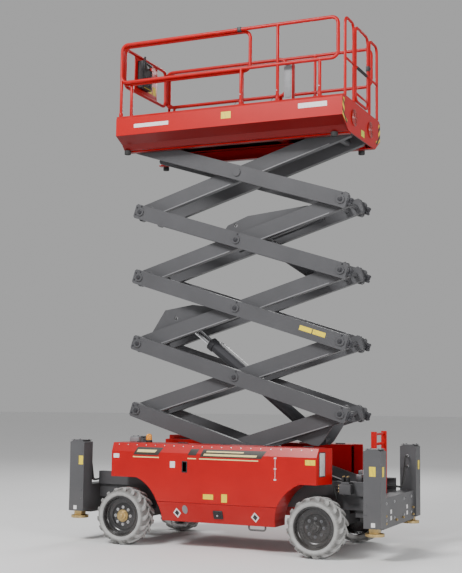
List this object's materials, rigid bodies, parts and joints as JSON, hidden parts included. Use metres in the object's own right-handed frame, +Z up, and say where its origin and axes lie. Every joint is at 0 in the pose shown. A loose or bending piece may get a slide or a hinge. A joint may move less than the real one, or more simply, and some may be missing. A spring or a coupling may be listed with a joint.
{
  "type": "rough-terrain scissor lift",
  "caption": "Self-propelled rough-terrain scissor lift, part raised: stacked crossed arms, railed platform with sliding extension deck, side hoods, outriggers, air-free grey tyres",
  "frame": {"origin": "on the ground, midway between the wheels along and across the machine", "axes": "+X to the rear (ladder end), +Y to the machine's right, +Z up"},
  "size_m": [3.8852, 1.8, 6.0984],
  "materials": {
    "red_paint": "gloss red powder coat",
    "arm_grey_paint": "satin dark grey paint",
    "frame_grey_paint": "satin mid grey paint",
    "rim_black_paint": "satin black paint",
    "tyre": "matt light grey non-marking tread",
    "rod_steel": "polished hard chrome",
    "pad_steel": "zinc plated steel",
    "amber_lens": "clear amber lens",
    "black_plastic": "textured black plastic"
  },
  "bodies": {
    "chassis": {"chassis_frame": "frame_grey_paint", "left_side_tray": "red_paint", "right_side_tray": "red_paint", "engine_block": "frame_grey_paint", "fuel_tank": "black_plastic", "front_axle": "frame_grey_paint", "rear_axle": "frame_grey_paint", "front_outrigger_beam": "frame_grey_paint", "rear_outrigger_beam": "frame_grey_paint", "ladder": "red_paint", "beacon": "amber_lens"},
    "platform": {"platform_deck": "red_paint", "platform_console": "frame_grey_paint", "left_guard_rail": "red_paint", "right_guard_rail": "red_paint", "rear_left_guard_rail": "red_paint", "rear_right_guard_rail": "red_paint"},
    "extension": {"extension_deck": "red_paint", "extension_front_rail": "red_paint", "extension_left_rail": "red_paint", "extension_right_rail": "red_paint", "control_box": "black_plastic"},
    "gate": {"gate": "red_paint"},
    "left_hood": {"left_hood": "red_paint"},
    "left_steering": {"left_steering_knuckle": "frame_grey_paint"},
    "front_left_leg": {"front_left_outrigger_leg": "pad_steel"},
    "front_left_wheel": {"front_left_tyre": "tyre", "front_left_rim": "rim_black_paint"},
    "rear_left_leg": {"rear_left_outrigger_leg": "pad_steel"},
    "rear_left_wheel": {"rear_left_tyre": "tyre", "rear_left_rim": "rim_black_paint"},
    "right_hood": {"right_hood": "red_paint"},
    "right_steering": {"right_steering_knuckle": "frame_grey_paint"},
    "front_right_leg": {"front_right_outrigger_leg": "pad_steel"},
    "front_right_wheel": {"front_right_tyre": "tyre", "front_right_rim": "rim_black_paint"},
    "rear_right_leg": {"rear_right_outrigger_leg": "pad_steel"},
    "rear_right_wheel": {"rear_right_tyre": "tyre", "rear_right_rim": "rim_black_paint"},
    "inner_arms_1": {"inner_arms_1": "arm_grey_paint"},
    "outer_arms_1": {"outer_arms_1": "arm_grey_paint"},
    "inner_arms_2": {"inner_arms_2": "arm_grey_paint"},
    "outer_arms_2": {"outer_arms_2": "arm_grey_paint"},
    "inner_arms_3": {"inner_arms_3": "arm_grey_paint"},
    "outer_arms_3": {"outer_arms_3": "arm_grey_paint"},
    "inner_arms_4": {"inner_arms_4": "arm_grey_paint"},
    "outer_arms_4": {"outer_arms_4": "arm_grey_paint"},
    "inner_arms_5": {"inner_arms_5": "arm_grey_paint"},
    "outer_arms_5": {"outer_arms_5": "arm_grey_paint"},
    "lower_barrel": {"lower_cylinder_barrel": "frame_grey_paint"},
    "lower_rod": {"lower_cylinder_rod": "rod_steel"},
    "upper_barrel": {"upper_cylinder_barrel": "frame_grey_paint"},
    "upper_rod": {"upper_cylinder_rod": "rod_steel"}
  },
  "joints": [
    {"name": "lift", "type": "hinge", "parent": "chassis", "child": "outer_arms_1", "pos_m": [1.324, 0, 0.734], "axis": [0, 1, 0], "range_deg": [-13.37, 36.63]},
    {"name": "stage_1_centre", "type": "hinge", "parent": "outer_arms_1", "child": "inner_arms_1", "pos_m": [0.0146, 0, 1.1436], "axis": [0, 1, 0], "range_deg": [-73.31, 26.79]},
    {"name": "stage_2_rear", "type": "hinge", "parent": "inner_arms_1", "child": "outer_arms_2", "pos_m": [1.324, 0, 1.5532], "axis": [0, 1, 0], "range_deg": [-26.79, 73.31]},
    {"name": "stage_2_centre", "type": "hinge", "parent": "outer_arms_2", "child": "inner_arms_2", "pos_m": [0.0146, 0, 1.9628], "axis": [0, 1, 0], "range_deg": [-73.31, 26.79]},
    {"name": "stage_3_front", "type": "hinge", "parent": "outer_arms_2", "child": "inner_arms_3", "pos_m": [-1.2949, 0, 2.3724], "axis": [0, 1, 0], "range_deg": [-73.31, 26.79]},
    {"name": "stage_3_centre", "type": "hinge", "parent": "inner_arms_3", "child": "outer_arms_3", "pos_m": [0.0146, 0, 2.782], "axis": [0, 1, 0], "range_deg": [-26.79, 73.31]},
    {"name": "stage_4_rear", "type": "hinge", "parent": "inner_arms_3", "child": "outer_arms_4", "pos_m": [1.324, 0, 3.1916], "axis": [0, 1, 0], "range_deg": [-26.79, 73.31]},
    {"name": "stage_4_centre", "type": "hinge", "parent": "outer_arms_4", "child": "inner_arms_4", "pos_m": [0.0146, 0, 3.6012], "axis": [0, 1, 0], "range_deg": [-73.31, 26.79]},
    {"name": "stage_5_front", "type": "hinge", "parent": "outer_arms_4", "child": "inner_arms_5", "pos_m": [-1.2949, 0, 4.0108], "axis": [0, 1, 0], "range_deg": [-73.31, 26.79]},
    {"name": "stage_5_centre", "type": "hinge", "parent": "inner_arms_5", "child": "outer_arms_5", "pos_m": [0.0146, 0, 4.4204], "axis": [0, 1, 0], "range_deg": [-26.79, 73.31]},
    {"name": "platform_pivot", "type": "hinge", "parent": "inner_arms_5", "child": "platform", "pos_m": [1.324, 0, 4.83], "axis": [0, 1, 0], "range_deg": [-13.42, 36.68]},
    {"name": "lower_cylinder_base", "type": "hinge", "parent": "inner_arms_1", "child": "lower_barrel", "pos_m": [0.9943, 0, 1.2374], "axis": [0, 1, 0], "range_deg": [-24.78, 67.82]},
    {"name": "lower_cylinder_stroke", "type": "slide", "parent": "lower_barrel", "child": "lower_rod", "axis": [-0.7857, 0, 0.6186], "range_m": [-0.4105, 1.123]},
    {"name": "upper_cylinder_base", "type": "hinge", "parent": "inner_arms_3", "child": "upper_barrel", "pos_m": [0.9396, 0, 3.1342], "axis": [0, 1, 0], "range_deg": [-25.85, 70.75]},
    {"name": "upper_cylinder_stroke", "type": "slide", "parent": "upper_barrel", "child": "upper_rod", "axis": [-0.8325, 0, 0.554], "range_m": [-0.1655, 0.4517]},
    {"name": "extension_slide", "type": "slide", "parent": "platform", "child": "extension", "axis": [-1, 0, 0], "range_m": [0, 1.2]},
    {"name": "gate_hinge", "type": "hinge", "parent": "platform", "child": "gate", "pos_m": [1.4625, -0.245, 5.19], "axis": [0, 0, 1], "range_deg": [0, 90]},
    {"name": "left_hood_hinge", "type": "hinge", "parent": "chassis", "child": "left_hood", "pos_m": [0, -0.565, 1.18], "axis": [-1, 0, 0], "range_deg": [0, 75]},
    {"name": "right_hood_hinge", "type": "hinge", "parent": "chassis", "child": "right_hood", "pos_m": [0, 0.565, 1.18], "axis": [1, 0, 0], "range_deg": [0, 75]},
    {"name": "front_left_leg_slide", "type": "slide", "parent": "chassis", "child": "front_left_leg", "axis": [0, 0, -1], "range_m": [0, 0.26]},
    {"name": "front_right_leg_slide", "type": "slide", "parent": "chassis", "child": "front_right_leg", "axis": [0, 0, -1], "range_m": [0, 0.26]},
    {"name": "rear_left_leg_slide", "type": "slide", "parent": "chassis", "child": "rear_left_leg", "axis": [0, 0, -1], "range_m": [0, 0.26]},
    {"name": "rear_right_leg_slide", "type": "slide", "parent": "chassis", "child": "rear_right_leg", "axis": [0, 0, -1], "range_m": [0, 0.26]},
    {"name": "left_steer", "type": "hinge", "parent": "chassis", "child": "left_steering", "pos_m": [-1.195, -0.6, 0.33], "axis": [0, 0, 1], "range_deg": [-30, 30]},
    {"name": "right_steer", "type": "hinge", "parent": "chassis", "child": "right_steering", "pos_m": [-1.195, 0.6, 0.33], "axis": [0, 0, 1], "range_deg": [-30, 30]},
    {"name": "front_left_wheel_spin", "type": "hinge", "parent": "left_steering", "child": "front_left_wheel", "pos_m": [-1.195, 0, 0.33], "axis": [0, 1, 0], "continuous": true},
    {"name": "front_right_wheel_spin", "type": "hinge", "parent": "right_steering", "child": "front_right_wheel", "pos_m": [-1.195, 0, 0.33], "axis": [0, 1, 0], "continuous": true},
    {"name": "rear_left_wheel_spin", "type": "hinge", "parent": "chassis", "child": "rear_left_wheel", "pos_m": [1.195, 0, 0.33], "axis": [0, 1, 0], "continuous": true},
    {"name": "rear_right_wheel_spin", "type": "hinge", "parent": "chassis", "child": "rear_right_wheel", "pos_m": [1.195, 0, 0.33], "axis": [0, 1, 0], "continuous": true}
  ],
  "couplings": [
    {"joint": "stage_1_centre", "follows": "lift", "ratio": -2},
    {"joint": "stage_2_rear", "follows": "lift", "ratio": 2},
    {"joint": "stage_2_centre", "follows": "lift", "ratio": -2},
    {"joint": "stage_3_front", "follows": "lift", "ratio": -2},
    {"joint": "stage_3_centre", "follows": "lift", "ratio": 2},
    {"joint": "stage_4_rear", "follows": "lift", "ratio": 2},
    {"joint": "stage_4_centre", "follows": "lift", "ratio": -2},
    {"joint": "stage_5_front", "follows": "lift", "ratio": -2},
    {"joint": "stage_5_centre", "follows": "lift", "ratio": 2},
    {"joint": "platform_pivot", "follows": "lift", "ratio": 1},
    {"joint": "lower_cylinder_base", "follows": "lift", "ratio": 1.85},
    {"joint": "lower_cylinder_stroke", "follows": "lift", "m_per_rad": 1.755},
    {"joint": "upper_cylinder_base", "follows": "lift", "ratio": 1.93},
    {"joint": "upper_cylinder_stroke", "follows": "lift", "m_per_rad": 0.705},
    {"joint": "right_steer", "follows": "left_steer", "ratio": 1}
  ]
}
